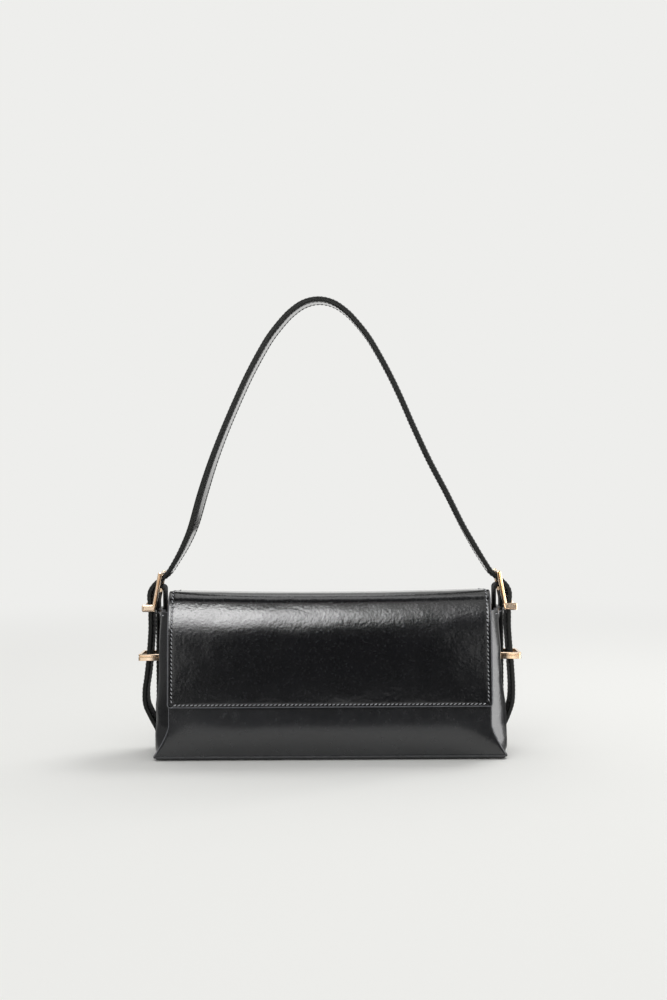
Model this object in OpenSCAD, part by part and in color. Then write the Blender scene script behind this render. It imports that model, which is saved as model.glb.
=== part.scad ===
// Small flap-over shoulder bag in smooth leather, standing on its base with its strap up.
// The front faces -Y, width runs along X, and the base stands on Z = 0.

/* [Body] */
// Width of the base, left to right
base_w = 260; // [248:1:290]
// How far the front and back panels flare out on each side towards the base
flare_out = 9.5; // [5:0.5:11]
// Depth of the body, outside of the front panel to outside of the back panel
body_d = 60; // [54:1:76]
// Height of the front panel's top edge above the floor
front_h = 120; // [112:1:121]
// Height of the seam that joins the walls to the base
seam_h = 4; // [3.6:0.2:6]
// Height above the base seam over which the walls flare out
flare_h = 22; // [14:1:30]
// Height of the gusset's top edge at its middle
gusset_h = 112; // [110:0.5:112.5]
// Rise of the gusset's top edge from its middle to the front and back seams
gusset_rise = 5; // [2:0.5:5]

/* [Leather] */
// Thickness of the body leather
leather_t = 2; // [1.6:0.1:2.2]
// Thickness of the soft gusset leather
gusset_t = 2.4; // [2:0.1:2.6]
// Thickness of the cloth lining and its leather facings
lining_t = 0.8; // [0.6:0.1:1]
// Height of the leather facing round the mouth
facing_h = 8; // [6:1:14]
// Thickness of the base board
board_t = 2; // [1.5:0.1:2.4]

/* [Flap] */
// How far the flap's side edges lie inside the panels' edges at the top fold
flap_inset = 2; // [1:0.5:6]
// How far the flap's lower corners reach past the panels' edges
flap_overhang = 0.5; // [0:0.5:2]
// Height of the flap's top face above the floor
flap_top_z = 126; // [126:0.5:132]
// Height of the flap's lower edge above the floor
flap_foot_z = 40; // [30:1:55]
// Outer radius of the flap's two folds
fold_r = 9; // [8.5:0.25:10]
// Thickness of the flap's lining
flap_lining_t = 0.9; // [0.6:0.1:1]
// Room between the flap and the front panel, which the snap fills
flap_room = 2.1; // [2.1:0.1:3]
// Corner radius of the flap's lower edge
flap_corner_r = 3; // [1:0.5:8]

/* [Snap] */
// Height of the magnetic snap above the floor
snap_z = 62; // [56:1:80]
// Radius of the snap's discs
snap_r = 9; // [8.5:0.5:11]
// Thickness of the snap's socket disc
snap_disc_t = 1.2; // [1:0.1:1.3]

/* [Strap] */
// Width of the shoulder strap
strap_w = 20; // [16:1:22]
// Thickness of each of the strap's two leather layers
strap_layer_t = 1.7; // [1.5:0.1:1.8]
// Rise of the strap's arch above the buckle's middle bar
strap_rise = 222; // [190:1:240]
// How far the standing arch leans to the left at its top
strap_lean = 6.5; // [0:0.5:10]
// Width of the leather loop that holds each buckle
loop_w = 18; // [14:1:20]
// Thickness of the leather loop
loop_t = 1.8; // [1.5:0.1:2]
// Height of the lower end of the loop's outer leg
loop_foot_z = 37; // [32:1:42]

/* [Hardware] */
// Height of each buckle's middle bar above the floor
bar_z = 126; // [125:0.5:130]
// Radius of the buckle's middle bar
bar_r = 1.5; // [1.2:0.1:1.6]
// Width of a buckle's side rail, seen from the front
rail_w = 3.2; // [2.8:0.1:3.6]
// Thickness of a buckle's side rail, front to back
rail_t = 2.8; // [2:0.1:3.4]
// Height of a keeper ring
keeper_h = 5; // [4:0.5:6]
// Height of the middle of each keeper ring above the floor
keeper_z = 75; // [68:1:80]
// Thickness of a keeper ring's bars
keeper_t = 2.1; // [1.8:0.1:2.2]
// Outside width of a keeper ring, left to right
keeper_len = 17.4; // [16.8:0.1:19]

/* [Pocket] */
// Width of the slip pocket
pocket_w = 140; // [100:5:180]
// Height of the slip pocket
pocket_h = 65; // [50:1:75]
// Height of the slip pocket's lower edge above the floor
pocket_z = 30; // [20:1:35]
// Depth of the slip pocket's room
pocket_room = 5; // [4.6:0.2:8]

/* [Hidden] */
$fn = 64;

// Gap between soft pieces that move past each other
soft_gap = 0.3;
// Gap between pieces that are fastened to each other
seat_gap = 0.1;
// Film of glue between a gusset and what lines it
glue_t = 0.04;
// Overrun of a cut past the face that it opens
cut = 1;

// Body
half_base = base_w / 2;
half_panel = half_base - flare_out;
half_d = body_d / 2;
wall_y = half_d - leather_t;
lining_y = wall_y - lining_t;
flare_top = seam_h + flare_h;
flare_power = 1.35;
base_corner_r = 4;
base_draft = 5;
board_inset = 8;
board_z = seam_h - board_t;

// The gusset's middle lies flat behind the loop, and steps in behind the keeper ring
flat_half = loop_w / 2 + 1.5;
keeper_recess = keeper_t + soft_gap;
recess_low = loop_foot_z + 7;
recess_fade = 8;
recess_high = gusset_h - 7 - recess_fade;
fold_share = 0.55;
fold_reach = 0.45;
gusset_columns = 28;

// Flap: centres of its two folds, and the two hinge lines on its outer skin
flap_y = half_d + flap_room + flap_lining_t + leather_t;
fold_z = flap_top_z - fold_r;
flap_w = 2 * (half_panel - flap_inset);
flap_foot_w = 2 * (half_panel + flap_overhang);
front_fold_y = fold_r - flap_y;
back_fold_y = half_d - fold_r;
mitre_half = 1;

// Snap
neck_r = snap_r - 4;
washer_t = 0.8;
washer_r = snap_r - 1;
stud_r = 2.4;
stud_room = 1.2;
stud_disc_t = flap_room - snap_disc_t - soft_gap;
stud_reach = 1;

// Strap: its outer skin runs past the bars of the buckle and down the side
loop_in_r = (gusset_t + glue_t + lining_t + 2 * seat_gap) / 2;
bar_x = half_base + seat_gap - loop_in_r;
loop_out_r = loop_in_r + loop_t;
loop_inner_z = recess_high + recess_fade;
strap_t = 2 * strap_layer_t;
split_z = bar_z - 21.3;
split_gap = 0.3;
lean_start = 40;
lean_run = 130;
seat_x = half_base + seat_gap + strap_t - bar_x;
// Outer skin of the arch, as shares of the bar's distance from the middle and of the rise
arch_shape = [[0, 1], [0.116, 0.975], [0.214, 0.933], [0.317, 0.859], [0.418, 0.761], [0.514, 0.644],
    [0.611, 0.521], [0.696, 0.409], [0.748, 0.324], [0.816, 0.235], [0.876, 0.166], [0.927, 0.112]];
// Outer skin from the top bar round the outside of the loop, measured from the middle bar
buckle_route = [[-2.6, 13.9], [2.6, 9.2], [6.8, 4.6], [9.4, 0], [10.3, -4.5], [9.9, -9.5], [9.5, -14],
    [9.4, -18.5], [9.4, split_z - bar_z]];
// Outer skin of the side run, x from the middle bar and z from the floor
run_route = [[9.4, split_z - split_gap], [9.4, 96], [10.2, 84], [11.2, 72], [12, 60], [12.4, 49],
    [11.6, 38], [9.4, 28], [6.7, 20], [seat_x, 13], [seat_x, 7]];
spline_steps = 4;

// Buckle, measured from the middle bar
top_bar = [-0.6, 15.8];
top_bar_r = 1.4;
knee = [4.7, -13.7];
foot_bar_r = 1.3;
foot_bar = [9.5 + soft_gap + foot_bar_r, -13.7];
foot_h = 5.4;
rail_gap = 0.4;
rail_y = strap_w / 2 + rail_gap;

// Keeper ring
keeper_x = half_base - keeper_t - soft_gap / 2;
keeper_in_y = strap_w / 2 + rail_gap;
keeper_corner_r = 1.6;

black_leather = "#1b1c1f";
black_lining = "#2b2a2c";
gold = "#e9c793";
board_grey = "#6f6a63";

function smooth(t) = let (c = max(0, min(1, t))) c * c * (3 - 2 * c);
function flip(points) = [for (i = [len(points) - 1:-1:0]) points[i]];
function mirrored(points) = [for (p = points) [-p[0], p[1]]];

// Half width of the front and back panels at a height
function edge_x(z) = half_panel
    + (half_base - half_panel) * pow(max(0, min(1, (flare_top - z) / flare_h)), flare_power);

// Half width of the gusset's middle at a height
function middle_x(z) = half_base - keeper_recess
    * smooth((z - recess_low) / recess_fade) * (1 - smooth((z - recess_high) / recess_fade));

// Share of the way from the seam to the gusset's middle, with a soft fold next to the seam
function side_share(y) = let (s = max(0, min(1, (wall_y - abs(y)) / (wall_y - flat_half))))
    fold_share * sin(90 * min(1, s / fold_reach))
    + (1 - fold_share) * smooth((s - fold_reach) / (1 - fold_reach));

// Height of the gusset's top edge at a depth
function gusset_top(y) = gusset_h + gusset_rise * pow(abs(y) / wall_y, 2);

// One point of the right gusset, at a distance inside its outer face
function gusset_point(y, z, inset) = [
    edge_x(z) + (middle_x(z) - edge_x(z)) * side_share(y) - inset, y, z];

// A closed sheet between two grids of points, rows from bottom to top
module curved_sheet(outer, inner) {
    rows = len(outer);
    columns = len(outer[0]);
    count = rows * columns;
    skin = function (a, b, c, d) [[a, b, c], [a, c, d]];
    o = function (r, c) r * columns + c;
    i = function (r, c) count + r * columns + c;
    faces = [
        for (r = [0:rows - 2], c = [0:columns - 2]) each concat(
            skin(o(r, c), o(r + 1, c), o(r + 1, c + 1), o(r, c + 1)),
            skin(i(r, c), i(r, c + 1), i(r + 1, c + 1), i(r + 1, c))),
        for (c = [0:columns - 2]) each concat(
            skin(o(0, c), o(0, c + 1), i(0, c + 1), i(0, c)),
            skin(o(rows - 1, c), i(rows - 1, c), i(rows - 1, c + 1), o(rows - 1, c + 1))),
        for (r = [0:rows - 2]) each concat(
            skin(o(r, 0), i(r, 0), i(r + 1, 0), o(r + 1, 0)),
            skin(o(r, columns - 1), o(r + 1, columns - 1), i(r + 1, columns - 1), i(r, columns - 1)))];
    polyhedron(concat([for (row = outer) each row], [for (row = inner) each row]), faces);
}

// Heights at which the side wall is drawn: closer together where it flares or steps in
wall_levels = concat([for (k = [0:6]) seam_h + flare_h * k / 6],
    [for (low = [recess_low, recess_high], k = [0:4]) low + recess_fade * k / 4]);

// A layer of the right side wall between two depths below its outer face. The levels are its
// heights at a depth y, from its lower to its upper edge, and its columns end at half_depth.
module side_layer(levels, from, to, half_depth) {
    columns = [for (c = [0:gusset_columns]) let (y = wall_y * (2 * c / gusset_columns - 1))
        max(-half_depth, min(half_depth, y))];
    grid = function (inset) [for (r = [0:len(levels(0)) - 1]) [for (y = columns)
        gusset_point(y, levels(y)[r], inset)]];
    curved_sheet(grid(from), grid(to));
}

// The layer that is glued to the inside of the right gusset
module lining_layer(levels) {
    depth = gusset_t + glue_t;
    side_layer(levels, depth, depth + lining_t, lining_y - seat_gap);
}

// Outline of the front and back panels, seen from the front
function panel_outline(top) = let (
    right = concat([for (k = [0:8]) let (z = seam_h + flare_h * k / 8) [edge_x(z), z]],
        [[half_panel, top]]))
    concat(right, flip(mirrored(right)));

// Stands an outline drawn in X and Z up, from y = 0 towards +Y
module stand(thickness) {
    translate([0, thickness, 0]) rotate([90, 0, 0]) linear_extrude(thickness) children();
}

// Runs an outline drawn in Y and Z across the bag, centred on x = 0
module across(width) {
    translate([-width / 2, 0, 0]) rotate([90, 0, 90]) linear_extrude(width) children();
}

// A sector of a ring in two dimensions, between two angles less than 90 degrees apart
module ring_sector(out_r, in_r, from, to) {
    reach = out_r * 2;
    intersection() {
        difference() {
            circle(out_r);
            circle(in_r);
        }
        polygon([[0, 0], [reach * cos(from), reach * sin(from)], [reach * cos(to), reach * sin(to)]]);
    }
}

// A straight bar with round ends in two dimensions
module stadium(p, q, width) {
    step = q - p;
    translate(p) circle(width / 2);
    translate(q) circle(width / 2);
    translate(p) rotate(atan2(step[1], step[0])) translate([0, -width / 2])
        square([norm(step), width]);
}

module rounded_rect(w, d, r) {
    square([w - 2 * r, d], center = true);
    square([w, d - 2 * r], center = true);
    for (sx = [-1, 1], sy = [-1, 1]) translate([sx * (w / 2 - r), sy * (d / 2 - r)]) circle(r);
}

module disc(y_from, y_to, r) {
    translate([0, y_to, snap_z]) rotate([90, 0, 0]) cylinder(h = y_to - y_from, r = r);
}

// Smooth curve through points, at even shares of each span
function curve_point(a, b, c, d, t) = 0.5 * (2 * b + (c - a) * t
    + (2 * a - 5 * b + 4 * c - d) * t * t + (3 * b - a - 3 * c + d) * t * t * t);
function smooth_curve(p) = let (last = len(p) - 1) concat([for (i = [0:last - 1], k = [0:spline_steps - 1])
    curve_point(p[max(0, i - 1)], p[i], p[i + 1], p[min(last, i + 2)], k / spline_steps)], [p[last]]);

// Left-hand normal of a route at one of its points
function side_of(p, i) = let (d = p[min(len(p) - 1, i + 1)] - p[max(0, i - 1)]) [-d[1], d[0]] / norm(d);
function offset_route(p, distance) = [for (i = [0:len(p) - 1]) p[i] + distance * side_of(p, i)];

// The arch leans only well above the buckles
function leaned(p) = [p[0] - strap_lean * smooth((p[1] - bar_z - lean_start) / lean_run), p[1]];

right_half = concat([for (s = arch_shape) [s[0] * bar_x, bar_z + s[1] * strap_rise]],
    [for (b = buckle_route) [bar_x + b[0], bar_z + b[1]]]);
left_half = flip(mirrored([for (i = [1:len(right_half) - 1]) right_half[i]]));
strap_route = smooth_curve([for (p = concat(left_half, right_half)) leaned(p)]);
side_route = smooth_curve([for (r = run_route) [bar_x + r[0], r[1]]]);

// A layer of the strap between two depths below its outer skin; the route runs left to right
module strap_layer(route, from, to) {
    translate([0, -strap_w / 2, 0]) stand(strap_w)
        polygon(concat(offset_route(route, -from), flip(offset_route(route, -to))));
}

// Body

module front_panel() {
    color(black_leather) difference() {
        translate([0, -half_d, 0]) stand(leather_t) polygon(panel_outline(front_h));
        disc(-half_d - cut, -wall_y + cut, neck_r + seat_gap);
        disc(-wall_y - washer_t - seat_gap, -wall_y + cut, washer_r + seat_gap);
    }
}

// The back panel runs up into the first half of the flap's back fold
module back_panel() {
    color(black_leather) {
        translate([0, wall_y, 0]) stand(leather_t) polygon(panel_outline(fold_z));
        across(flap_w) translate([back_fold_y, fold_z])
            ring_sector(fold_r, fold_r - leather_t, 0, 45 - mitre_half);
    }
}

module base_panel() {
    rim_t = 0.4;
    color(black_leather) difference() {
        hull() {
            translate([0, 0, seam_h - rim_t]) linear_extrude(rim_t)
                rounded_rect(base_w, body_d, base_corner_r);
            linear_extrude(rim_t)
                rounded_rect(base_w - 2 * base_draft, body_d - 2 * base_draft, base_corner_r);
        }
        translate([0, 0, board_z]) linear_extrude(board_t + cut)
            square([base_w - 2 * board_inset, body_d - 2 * board_inset], center = true);
    }
}

module base_board() {
    color(board_grey) translate([0, 0, board_z]) linear_extrude(board_t)
        square([base_w - 2 * (board_inset + seat_gap), body_d - 2 * (board_inset + seat_gap)], center = true);
}

module gusset_right() {
    levels = function (y) concat(wall_levels, [gusset_top(y)]);
    color(black_leather) side_layer(levels, 0, gusset_t, wall_y);
}

module gusset_left() { mirror([1, 0, 0]) gusset_right(); }

// One cloth runs down the front wall, over the base and up the back wall
module lining_body() {
    wall_top = front_h - facing_h;
    back_top = fold_z - facing_h;
    side_room = gusset_t + lining_t;
    narrow = half_panel - side_room;
    color(black_lining) {
        translate([0, -wall_y, 0]) stand(lining_t)
            polygon([[-narrow, seam_h], [narrow, seam_h], [narrow, wall_top], [-narrow, wall_top]]);
        translate([0, lining_y, 0]) stand(lining_t)
            polygon([[-narrow, seam_h], [narrow, seam_h], [narrow, back_top], [-narrow, back_top]]);
        translate([0, 0, seam_h]) linear_extrude(lining_t)
            square([2 * (half_base - side_room - seat_gap), 2 * lining_y + seat_gap], center = true);
    }
}

module lining_right() {
    low = seam_h + lining_t + seat_gap;
    levels = function (y) concat([low], [for (z = wall_levels) if (z > low && z < gusset_h - facing_h - 1) z],
        [gusset_top(y) - facing_h]);
    color(black_lining) lining_layer(levels);
}

module lining_left() { mirror([1, 0, 0]) lining_right(); }

module facing(y, top) {
    narrow = half_panel - gusset_t - lining_t;
    color(black_leather) translate([-narrow, y, top - facing_h]) cube([2 * narrow, lining_t, facing_h]);
}

module facing_front() { facing(-wall_y, front_h); }

module facing_back() { facing(lining_y, fold_z); }

module facing_right() {
    levels = function (y) [gusset_top(y) - facing_h, gusset_top(y)];
    color(black_leather) lining_layer(levels);
}

module facing_left() { mirror([1, 0, 0]) facing_right(); }

// A shallow open-topped pocket on the back lining
module slip_pocket() {
    wall = 1.2;
    slope = 4;
    front_y = lining_y - pocket_room - wall;
    half = pocket_w / 2;
    plan = [[-half, lining_y], [-half + slope, front_y], [half - slope, front_y], [half, lining_y]];
    inside = [[-half + wall * 1.3, lining_y], [-half + slope + wall * 0.6, front_y + wall],
        [half - slope - wall * 0.6, front_y + wall], [half - wall * 1.3, lining_y]];
    color(black_lining) translate([0, 0, pocket_z]) difference() {
        linear_extrude(pocket_h) polygon(plan);
        translate([0, 0, wall]) linear_extrude(pocket_h) polygon(concat(
            [[inside[0][0], lining_y + cut]], inside, [[inside[3][0], lining_y + cut]]));
    }
}

module snap_socket() {
    face_y = -half_d - seat_gap / 2 - snap_disc_t;
    color(gold) difference() {
        union() {
            disc(face_y, face_y + snap_disc_t, snap_r);
            disc(face_y + snap_disc_t, -wall_y - seat_gap, neck_r);
        }
        disc(face_y - cut, face_y + snap_disc_t + 0.5, stud_r + stud_room);
    }
}

module snap_socket_washer() {
    color(gold) difference() {
        disc(-wall_y - washer_t, -wall_y, washer_r);
        disc(-wall_y - washer_t - cut, -wall_y + cut, neck_r + seat_gap);
    }
}

// The loop holds the buckle's middle bar: its inner leg is sewn inside the gusset, and its outer
// leg runs down the outside as a strip, free behind the keeper ring
module anchor_loop_right() {
    color(black_leather) translate([0, -loop_w / 2, 0]) stand(loop_w) {
        translate([bar_x, bar_z]) intersection() {
            difference() {
                circle(loop_out_r);
                circle(loop_in_r);
            }
            translate([-loop_out_r, 0]) square([2 * loop_out_r, loop_out_r]);
        }
        translate([bar_x + loop_in_r, loop_foot_z]) square([loop_t, bar_z - loop_foot_z]);
        translate([bar_x - loop_out_r, loop_inner_z]) square([loop_t, bar_z - loop_inner_z]);
    }
}

module anchor_loop_left() { mirror([1, 0, 0]) anchor_loop_right(); }

// The strap's side run: from the buckle's foot through the keeper down to its sewn end
module strap_run_right() { color(black_leather) strap_layer(side_route, 0, strap_t); }

module strap_run_left() { mirror([1, 0, 0]) strap_run_right(); }

// Flap

// A layer of the flap's top between its two folds, at two depths below its outer skin
module flap_top_layer(from, to) {
    color(black_leather) across(flap_w) {
        translate([front_fold_y, flap_top_z - to])
            square([back_fold_y - front_fold_y, to - from]);
        translate([front_fold_y, fold_z])
            ring_sector(fold_r - from, fold_r - to, 90, 135 - mitre_half);
        translate([back_fold_y, fold_z])
            ring_sector(fold_r - from, fold_r - to, 45 + mitre_half, 90);
    }
}

// Outline of the flap's front, seen from the front, with round lower corners
function flap_outline(inset) = let (
    x = flap_foot_w / 2 - inset,
    z = flap_foot_z + inset,
    r = flap_corner_r,
    corner = [for (k = [0:6]) [x - r + r * sin(15 * k), z + r - r * cos(15 * k)]],
    right = concat(corner, [[flap_w / 2 - inset, fold_z]]))
    concat(right, flip(mirrored(right)));

module flap_front_layer(from, to, inset) {
    translate([0, from - flap_y, 0]) stand(to - from) polygon(flap_outline(inset));
    across(flap_w - 2 * inset) translate([front_fold_y, fold_z])
        ring_sector(fold_r - from, fold_r - to, 135 + mitre_half, 180);
}

module flap_top_leather() { flap_top_layer(0, leather_t); }

module flap_top_lining() { flap_top_layer(leather_t, leather_t + flap_lining_t); }

module flap_front_leather() {
    inner_y = leather_t - flap_y;
    color(black_leather) difference() {
        flap_front_layer(0, leather_t, 0);
        disc(inner_y - washer_t - seat_gap, inner_y + cut, washer_r + seat_gap);
    }
}

module flap_front_lining() {
    inner_y = leather_t - flap_y;
    color(black_leather) difference() {
        flap_front_layer(leather_t, leather_t + flap_lining_t, 0.5);
        disc(inner_y - cut, inner_y + flap_lining_t + cut, stud_r + seat_gap);
    }
}

module snap_stud() {
    back_y = leather_t + flap_lining_t - flap_y;
    color(gold) {
        disc(back_y, back_y + stud_disc_t, snap_r);
        disc(back_y - flap_lining_t - washer_t, back_y + stud_disc_t + soft_gap + stud_reach, stud_r);
    }
}

module snap_stud_washer() {
    inner_y = leather_t - flap_y;
    color(gold) difference() {
        disc(inner_y - washer_t, inner_y, washer_r);
        disc(inner_y - washer_t - cut, inner_y + cut, stud_r + seat_gap);
    }
}

// Strap

module shoulder_strap() { color(black_leather) strap_layer(strap_route, 0, strap_layer_t); }

module shoulder_strap_lining() { color(black_leather) strap_layer(strap_route, strap_layer_t, strap_t); }

// A bar across the buckle, from rail to rail
module cross_bar(place, r) {
    translate([place[0], rail_y, place[1]]) rotate([90, 0, 0]) cylinder(h = 2 * rail_y, r = r);
}

// Two L-shaped rails joined by three bars: over the strap, in the loop and outside the strap
module buckle_right() {
    color(gold) translate([bar_x, 0, bar_z]) {
        for (side = [-1, 1]) translate([0, side * (rail_y + rail_t / 2) - rail_t / 2, 0]) stand(rail_t) {
            stadium(top_bar, knee, rail_w);
            stadium(knee, foot_bar, foot_h);
        }
        cross_bar(top_bar, top_bar_r);
        cross_bar([0, 0], bar_r);
        cross_bar(foot_bar, foot_bar_r);
    }
}

module buckle_left() { mirror([1, 0, 0]) buckle_right(); }

// Keeper

module keeper_right() {
    depth = 2 * (keeper_in_y + keeper_t);
    color(gold) translate([keeper_x + keeper_len / 2, 0, keeper_z - keeper_h / 2])
        linear_extrude(keeper_h) difference() {
            rounded_rect(keeper_len, depth, keeper_corner_r);
            square([keeper_len - 2 * keeper_t, depth - 2 * keeper_t], center = true);
        }
}

module keeper_left() { mirror([1, 0, 0]) keeper_right(); }

front_panel();
back_panel();
base_panel();
base_board();
gusset_left();
gusset_right();
lining_body();
lining_left();
lining_right();
facing_front();
facing_back();
facing_left();
facing_right();
slip_pocket();
snap_socket();
snap_socket_washer();
anchor_loop_left();
anchor_loop_right();
strap_run_left();
strap_run_right();
flap_top_leather();
flap_top_lining();
flap_front_leather();
flap_front_lining();
snap_stud();
snap_stud_washer();
shoulder_strap();
shoulder_strap_lining();
buckle_left();
buckle_right();
keeper_left();
keeper_right();
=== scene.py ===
import math

import bmesh
import bpy
from mathutils import Matrix, Vector, noise


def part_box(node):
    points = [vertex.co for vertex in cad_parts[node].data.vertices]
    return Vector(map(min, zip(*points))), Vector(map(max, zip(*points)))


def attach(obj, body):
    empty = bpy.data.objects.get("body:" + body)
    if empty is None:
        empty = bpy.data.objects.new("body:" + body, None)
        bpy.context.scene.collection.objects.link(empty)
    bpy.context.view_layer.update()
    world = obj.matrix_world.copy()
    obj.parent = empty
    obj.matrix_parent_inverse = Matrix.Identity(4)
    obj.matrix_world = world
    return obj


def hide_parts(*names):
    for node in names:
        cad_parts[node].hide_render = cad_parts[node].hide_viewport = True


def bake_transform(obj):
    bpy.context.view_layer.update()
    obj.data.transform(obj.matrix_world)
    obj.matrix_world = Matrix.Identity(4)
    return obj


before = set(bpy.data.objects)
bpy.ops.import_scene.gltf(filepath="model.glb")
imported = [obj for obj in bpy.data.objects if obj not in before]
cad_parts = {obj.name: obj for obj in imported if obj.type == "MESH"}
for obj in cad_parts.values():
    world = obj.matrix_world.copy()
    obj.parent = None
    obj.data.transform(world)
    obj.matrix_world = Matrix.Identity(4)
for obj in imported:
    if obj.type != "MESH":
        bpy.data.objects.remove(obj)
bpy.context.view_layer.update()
mm = 0.001  # pieces are drawn in millimetres and scaled once, when they become objects
sides = {"right": 1, "left": -1}  # the sign of x on each


def ease(value, start, run):
    # 0 up to start, 1 from start + run on, and a soft step between them
    share = max(0.0, min(1.0, (value - start) / run))
    return share * share * (3 - 2 * share)


def mix(low, high, share):
    return low + (high - low) * share


def bump(value, centre, width):
    return math.exp(-((value - centre) / width) ** 2)


def evenly(low, high, count):
    return [mix(low, high, k / count) for k in range(count + 1)]


def ripple(a, b, size, amount):
    return amount * noise.noise(Vector((a / size, b / size, size)))


def boxOf(node):
    low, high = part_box(node)
    return low / mm, high / mm


# Camera

viewSettings = {
    "place": (0.0034, -0.985, 0.205),
    "pitchDown": 0.67,  # degrees
    "roll": -0.32,
    "lens": 69.4,
    "sensor": 36.0,
}


def makeCamera(settings):
    data = bpy.data.cameras.new("studioCamera")
    data.sensor_fit = "HORIZONTAL"
    data.sensor_width = settings["sensor"]
    data.lens = settings["lens"]
    camera = bpy.data.objects.new("studioCamera", data)
    bpy.context.scene.collection.objects.link(camera)
    tilt = Matrix.Rotation(math.radians(90 - settings["pitchDown"]), 4, "X")
    roll = Matrix.Rotation(math.radians(settings["roll"]), 4, "Z")
    camera.matrix_world = Matrix.Translation(settings["place"]) @ tilt @ roll
    bpy.context.scene.camera = camera


makeCamera(viewSettings)
print("camera set")


# Materials

def linear(hexColour):
    values = [int(hexColour[i:i + 2], 16) / 255 for i in (1, 3, 5)]
    return [v / 12.92 if v <= 0.04045 else ((v + 0.055) / 1.055) ** 2.4 for v in values] + [1.0]


def addNode(material, kind, inputs, **fields):
    # An input is a plain value, or the socket of another node to link to
    node = material.node_tree.nodes.new(kind)
    for field, value in fields.items():
        setattr(node, field, value)
    for socket, value in inputs.items():
        if isinstance(value, bpy.types.NodeSocket):
            material.node_tree.links.new(value, node.inputs[socket])
        else:
            node.inputs[socket].default_value = value
    return node


def newMaterial(name):
    # An empty material, and the object's own coordinates, which its patterns follow
    material = bpy.data.materials.new(name)
    material.use_nodes = True
    material.node_tree.nodes.clear()
    return material, addNode(material, "ShaderNodeTexCoord", {}).outputs["Object"]


def perMetre(size):
    return 1 / (size * mm)  # texture scale for a feature of that many millimetres


def addNoise(material, place, size, detail, roughness=0.5):
    return addNode(material, "ShaderNodeTexNoise",
                   {"Vector": place, "Scale": perMetre(size), "Detail": detail, "Roughness": roughness})


def addRibs(material, place, size, distortion, detail):
    ribs = addNode(material, "ShaderNodeTexWave",
                   {"Vector": place, "Scale": perMetre(size) / (2 * math.pi), "Distortion": distortion,
                    "Detail": detail}, wave_type="BANDS", bands_direction="DIAGONAL")
    return ribs.outputs["Fac"]


def addRange(material, source, before, after, kind="LINEAR"):
    spread = addNode(material, "ShaderNodeMapRange",
                     {"Value": source, "From Min": before[0], "From Max": before[1],
                      "To Min": after[0], "To Max": after[1]}, interpolation_type=kind)
    return spread.outputs["Result"]


def addMath(material, operation, *inputs):
    return addNode(material, "ShaderNodeMath", dict(enumerate(inputs)), operation=operation).outputs["Value"]


def addShade(material, factor, stops):
    node = addNode(material, "ShaderNodeValToRGB", {"Fac": factor})
    for element, (place, colour) in zip(node.color_ramp.elements, stops):
        element.position = place
        element.color = colour
    return node.outputs["Color"]


def addRelief(material, height, depth, strength=1.0):
    return addNode(material, "ShaderNodeBump", {"Height": height, "Strength": strength,
                                                "Distance": depth * mm}).outputs["Normal"]


def finishMaterial(material, inputs):
    shader = addNode(material, "ShaderNodeBsdfPrincipled", inputs)
    addNode(material, "ShaderNodeOutputMaterial", {"Surface": shader.outputs["BSDF"]})
    return material


def makeAll(maker, settings):
    return [maker(name, values) for name, values in settings.items()]


# Glazed calf: chrome-tanned skin, dyed through, padded with resin and glazed. The eye sees a
# deep black, one sharp reflection from the glaze that breaks up over the fine grain, a softer
# one below it, and thin creases where the skin has been bent. Each pattern of the grain has
# its size and depth in millimetres. The loops are dyed but not glazed. The body's copy is
# painted lighter than the flap's, gusset's and strap's: painted floor light reflected on the
# lower front panel. The last entry, not glazed, is painted shade: the near-black matt colour
# of the grains that stand in the needle holes.
leatherSettings = {
    "glazedCalfFlap": {"colour": "#090a0d", "worn": "#0f1013", "rough": 0.24, "level": 0.3,
                       "coat": (1.0, 0.09), "pore": (1.3, 0.01), "mottle": (2.0, 0.12),
                       "crease": (16.0, 0.2), "wrinkle": (13.0, 0.03)},
    # The body's copy: painted lighter, standing in for floor light reflected on the lower front panel
    "glazedCalfBody": {"colour": "#16171a", "worn": "#1d1e21", "rough": 0.24, "level": 0.5,
                       "coat": (0.7, 0.1), "pore": (1.1, 0.005), "mottle": (4.0, 0.012),
                       "crease": (30.0, 0.03)},
    "glazedCalfGusset": {"colour": "#0b0c0f", "worn": "#121316", "rough": 0.3, "level": 0.5,
                         "coat": (0.8, 0.14), "pore": (1.1, 0.012), "mottle": (2.6, 0.04),
                         "crease": (9.0, 0.12), "wrinkle": (8.0, 0.03)},
    "glazedCalfStrap": {"colour": "#0e0e10", "worn": "#151517", "rough": 0.22, "level": 0.5,
                        "coat": (1.0, 0.12), "pore": (1.0, 0.003), "mottle": (2.5, 0.005),
                        "crease": (8.0, 0.02)},
    "dyedCalfLoop": {"colour": "#0c0c0e", "worn": "#131315", "rough": 0.6, "level": 0.12,
                     "coat": (0.0, 0.3), "pore": (1.0, 0.006), "mottle": (2.5, 0.01),
                     "crease": (8.0, 0.03)},
    # Painted shade: the near-black matt colour of the grains set in the needle holes
    "glazedCalfHole": {"colour": "#040405", "worn": "#060607", "rough": 0.9, "level": 0.1,
                       "coat": (0.0, 0.5), "pore": (1.0, 0.02), "mottle": (2.0, 0.02),
                       "crease": (5.0, 0.05)},
}


def addWrinkles(material, place, creases, size, depth):
    # Wrinkles follow the edges of large warped cells, and only where the creases are deep
    warp = (0.01, 0.01, 0.01)
    bent = addNode(material, "ShaderNodeVectorMath", {0: creases.outputs["Color"], 1: warp, 2: place},
                   operation="MULTIPLY_ADD")
    cells = addNode(material, "ShaderNodeTexVoronoi",
                    {"Vector": bent.outputs["Vector"], "Scale": perMetre(size)}, feature="DISTANCE_TO_EDGE")
    line = addRange(material, cells.outputs["Distance"], (0.0, 0.16), (-1.0, 0.0), "SMOOTHSTEP")
    deep = addRange(material, creases.outputs["Fac"], (0.52, 0.62), (0.0, depth), "SMOOTHSTEP")
    return addMath(material, "MULTIPLY", line, deep)


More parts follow.
